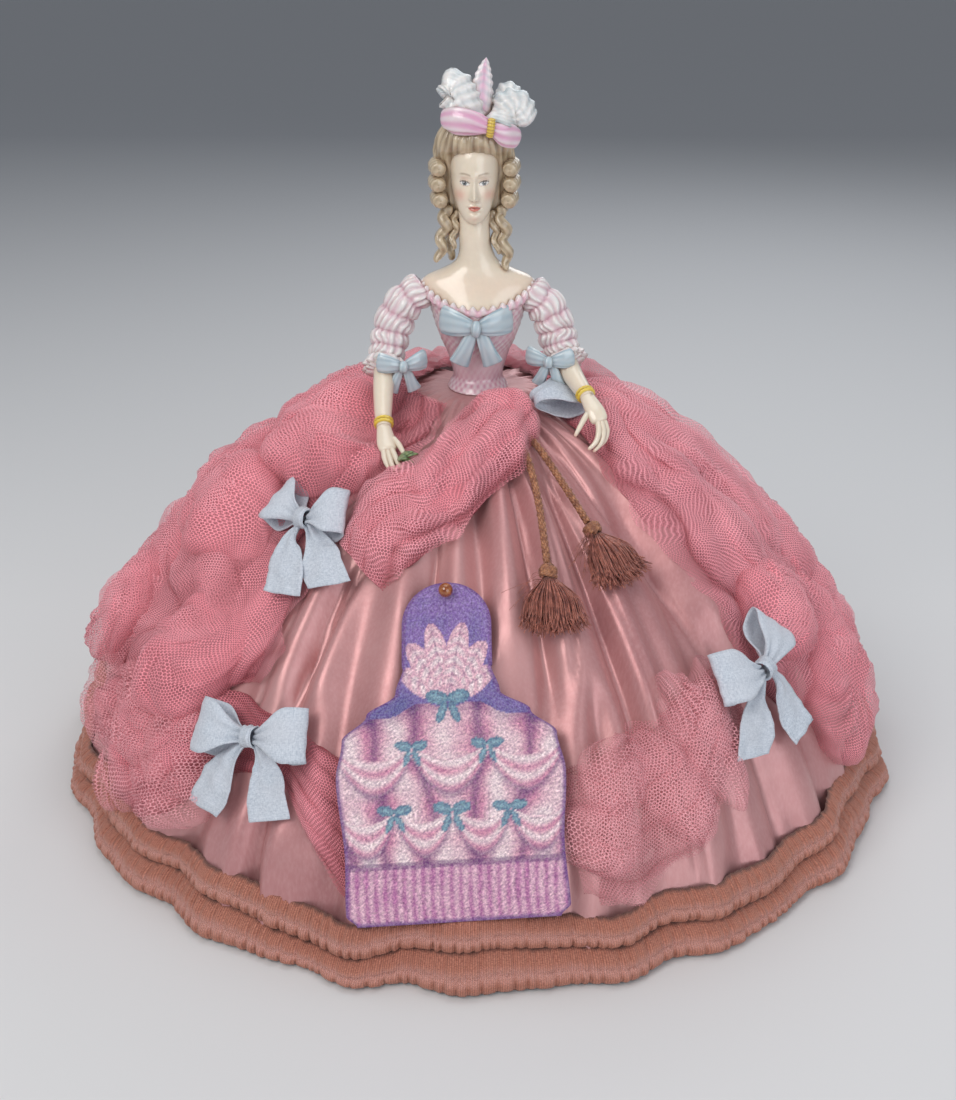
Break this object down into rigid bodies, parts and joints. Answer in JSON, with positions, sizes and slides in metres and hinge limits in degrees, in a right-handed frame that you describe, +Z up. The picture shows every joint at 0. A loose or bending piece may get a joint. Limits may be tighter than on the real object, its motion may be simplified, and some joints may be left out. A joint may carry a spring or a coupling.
{
  "type": "pincushion doll",
  "caption": "Pincushion doll: a porcelain half figure of a lady set into a stuffed satin skirt dressed with tulle, chiffon bows, cords with tassels and a ruched hem braid.",
  "frame": {"origin": "on the surface it stands on, in the middle of the base board's underside", "axes": "+Z up through the figure's waist and head, -Y towards the lady's front, +X to the viewer's right"},
  "size_m": [0.399, 0.3974, 0.3162],
  "materials": {
    "satin": "dusty pink satin with a soft sheen, gathered in vertical folds",
    "porcelain": "glazed porcelain, ivory skin with pale painted colours",
    "tulle": "coral pink net, crumpled and see-through",
    "chiffon": "grey-blue crinkled chiffon ribbon",
    "braid": "rust braid, ruched in upright pleats, with a pink gathering thread",
    "cord": "copper brown twisted rayon, worn and fluffy",
    "card": "printed card with a cut outline",
    "amber": "clear amber glass bead",
    "steel": "polished steel pin",
    "board": "plain grey-brown board"
  },
  "bodies": {
    "root": {"base_board": "board", "satin_skirt": "satin", "hem_braid_lower": "braid", "hem_braid_upper": "braid", "tulle_sash": "tulle", "tulle_drape_left": "tulle", "tulle_swag_left": "tulle", "tulle_drape_right": "tulle", "tulle_swag_right": "tulle", "tulle_drape_back": "tulle", "waist_bow_loop": "chiffon", "bow_upper_left_loops": "chiffon", "bow_upper_left_tails": "chiffon", "bow_upper_left_knot": "chiffon", "bow_lower_left_loops": "chiffon", "bow_lower_left_tails": "chiffon", "bow_lower_left_knot": "chiffon", "bow_right_loops": "chiffon", "bow_right_tails": "chiffon", "bow_right_knot": "chiffon", "tassel_cord_left": "cord", "tassel_cord_right": "cord", "tassel_left_knot": "cord", "tassel_left_fringe": "cord", "tassel_right_knot": "cord", "tassel_right_fringe": "cord", "picture_card": "card", "pin_shaft": "steel", "pin_head": "amber", "porcelain_half_doll": "porcelain"}
  },
  "joints": []
}
